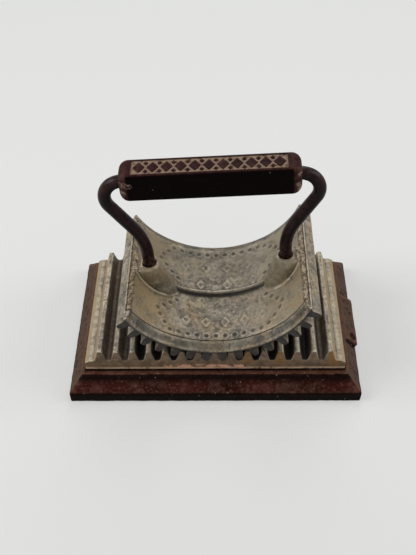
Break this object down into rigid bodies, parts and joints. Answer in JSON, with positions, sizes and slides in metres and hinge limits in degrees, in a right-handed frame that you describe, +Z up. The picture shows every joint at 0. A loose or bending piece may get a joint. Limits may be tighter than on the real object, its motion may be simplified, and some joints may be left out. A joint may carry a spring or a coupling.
{
  "type": "fluting iron",
  "caption": "Hand fluting iron: a heavy base with a ribbed plate, and a curved ribbed rocker with a bail handle and grip that rolls along it.",
  "frame": {"origin": "middle of the underside of the base", "axes": "+Z up, +X to the right along the plate's length and across its ribs, -Y the front"},
  "size_m": [0.1536, 0.0952, 0.122],
  "materials": {
    "base_paint": "old maroon paint over cast iron, half dull",
    "plate_iron": "worn and stained, with bronze-coloured edges",
    "rocker_iron": "worn and stained, slightly pitted",
    "handle_paint": "very dark maroon paint, chipped on the edges",
    "screw_steel": "dark with age",
    "shim_brass": "dull rolled sheet"
  },
  "bodies": {
    "base": {"base_casting": "base_paint", "flute_plate": "plate_iron", "plate_screw_1": "screw_steel", "plate_screw_2": "screw_steel", "plate_screw_3": "screw_steel", "plate_screw_4": "screw_steel"},
    "roll_carriage": {"packing_shim": "shim_brass"},
    "rocker": {"rocker_saddle": "rocker_iron", "flute_segment": "rocker_iron", "segment_pin_01": "screw_steel", "segment_pin_02": "screw_steel", "segment_pin_03": "screw_steel", "segment_pin_04": "screw_steel", "segment_pin_05": "screw_steel", "segment_pin_06": "screw_steel", "segment_pin_07": "screw_steel", "segment_pin_08": "screw_steel", "segment_pin_09": "screw_steel", "segment_pin_10": "screw_steel", "segment_pin_11": "screw_steel", "segment_pin_12": "screw_steel", "handle_bail": "handle_paint", "handle_grip": "handle_paint"}
  },
  "joints": [
    {"name": "roll_travel", "type": "slide", "parent": "base", "child": "roll_carriage", "axis": [1, 0, 0], "range_m": [-0.0466, 0.0551]},
    {"name": "rocker_roll", "type": "hinge", "parent": "roll_carriage", "child": "rocker", "pos_m": [0, 0, 0.0772], "axis": [0, 1, 0], "range_deg": [-49.5, 58.5]}
  ],
  "couplings": [
    {"joint": "roll_travel", "follows": "rocker_roll", "m_per_rad": 0.053901}
  ]
}
